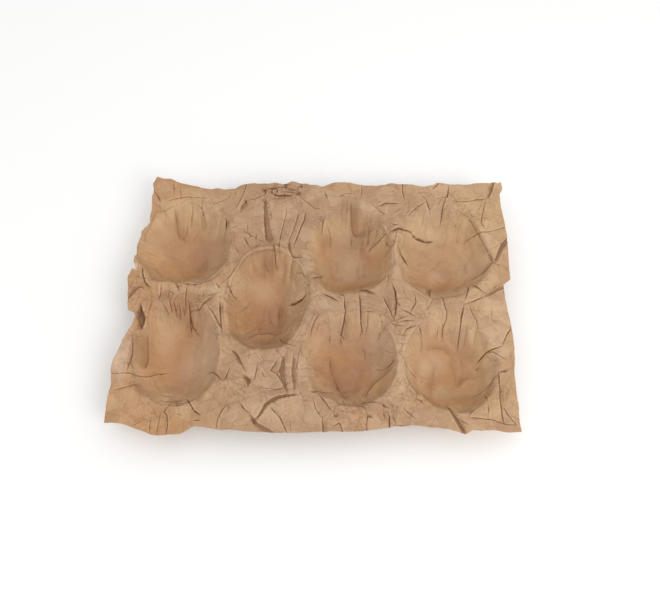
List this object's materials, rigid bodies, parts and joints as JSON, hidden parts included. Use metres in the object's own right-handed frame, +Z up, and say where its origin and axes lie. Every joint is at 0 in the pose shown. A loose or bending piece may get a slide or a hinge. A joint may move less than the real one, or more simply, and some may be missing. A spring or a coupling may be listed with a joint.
{
  "type": "fruit tray liner",
  "caption": "Crumpled kraft paper sheet pressed into deep oval cups that each hold one fruit in a carton.",
  "frame": {"origin": "middle of the flat sheet, at the height of the flat feet under the cups", "axes": "+X along the long side to the right, +Y to the far edge, +Z up; Z 0 is the table"},
  "size_m": [0.4006, 0.305, 0.0353],
  "materials": {
    "kraft_paper": "matte"
  },
  "bodies": {
    "root": {"tray_sheet": "kraft_paper"}
  },
  "joints": []
}
